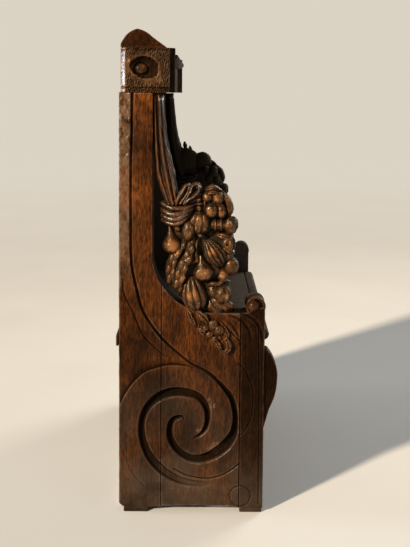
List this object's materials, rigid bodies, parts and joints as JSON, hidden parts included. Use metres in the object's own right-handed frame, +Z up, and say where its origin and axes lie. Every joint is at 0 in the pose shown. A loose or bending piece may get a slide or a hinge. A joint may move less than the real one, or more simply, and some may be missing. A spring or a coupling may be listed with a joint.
{
  "type": "choir stall",
  "caption": "Carved oak choir stall with scrolled ends, fruit garlands, a panelled back, a rounded crest rail and a tip-up seat with a misericord ledge.",
  "frame": {"origin": "on the floor, under the centre of the stall's box", "axes": "+Z up, front of the stall towards -Y, left end at -X"},
  "size_m": [0.85, 0.4, 1.2],
  "materials": {
    "end_oak": "waxed dark oak",
    "frame_oak": "waxed dark oak",
    "seat_oak": "dusty worn oak",
    "carving": "polished dark oak",
    "pin_iron": "dull forged iron"
  },
  "bodies": {
    "root": {"back_batten": "frame_oak", "back_bottom_rail": "frame_oak", "back_lower_muntin": "frame_oak", "back_lower_panel_left": "frame_oak", "back_lower_panel_right": "frame_oak", "back_seat_rail": "frame_oak", "back_top_rail": "frame_oak", "back_upper_muntin": "frame_oak", "back_upper_panel_left": "frame_oak", "back_upper_panel_right": "frame_oak", "cornice_frieze": "end_oak", "cornice_moulding": "end_oak", "crest_rail": "end_oak", "floor_rail": "frame_oak", "left_back_foot": "end_oak", "left_back_plank": "end_oak", "left_back_stile": "frame_oak", "left_console": "end_oak", "left_cornice_block": "end_oak", "left_drapery": "carving", "left_frame_pegs": "end_oak", "left_front_foot": "end_oak", "left_front_stile": "end_oak", "left_fruit_bunch": "carving", "left_garland_tail": "carving", "left_middle_plank": "end_oak", "left_plank_dowels": "end_oak", "left_seat_bearer": "frame_oak", "right_back_foot": "end_oak", "right_back_plank": "end_oak", "right_back_stile": "frame_oak", "right_console": "end_oak", "right_cornice_block": "end_oak", "right_drapery": "carving", "right_frame_pegs": "end_oak", "right_front_foot": "end_oak", "right_front_stile": "end_oak", "right_fruit_bunch": "carving", "right_garland_tail": "carving", "right_middle_plank": "end_oak", "right_plank_dowels": "end_oak", "right_seat_bearer": "frame_oak"},
    "seat": {"left_pivot_pin": "pin_iron", "left_seat_cleat": "frame_oak", "misericord": "frame_oak", "right_pivot_pin": "pin_iron", "right_seat_cleat": "frame_oak", "seat_front_board": "seat_oak", "seat_rear_board": "seat_oak"}
  },
  "joints": [
    {"name": "seat_tip_up", "type": "hinge", "parent": "root", "child": "seat", "pos_m": [0, 0.12525, 0.441], "axis": [-1, 0, 0], "range_deg": [0, 92]}
  ]
}
